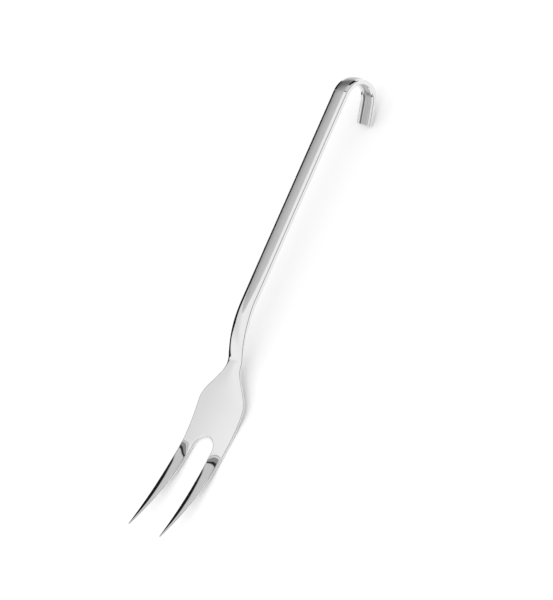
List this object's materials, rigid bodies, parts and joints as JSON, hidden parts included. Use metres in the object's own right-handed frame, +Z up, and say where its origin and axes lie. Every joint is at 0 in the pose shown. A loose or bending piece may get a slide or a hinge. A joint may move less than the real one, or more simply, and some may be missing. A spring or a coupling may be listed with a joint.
{
  "type": "serving fork",
  "caption": "Long serving fork of stainless steel: a hooked, hollow-backed handle, a dipped neck, and a flared palm with tapering tines that curve forward.",
  "frame": {"origin": "on the table under the middle of the fork's overall length, in its plane of symmetry", "axes": "+X along the fork toward the tine points, +Y across it along the hook's axis, +Z up from the table, out of the front"},
  "size_m": [0.3612, 0.0462, 0.0404],
  "materials": {
    "steel": "polished stainless steel, cross-brushed satin along the front of the handle"
  },
  "bodies": {
    "root": {"fork_body": "steel"}
  },
  "joints": []
}
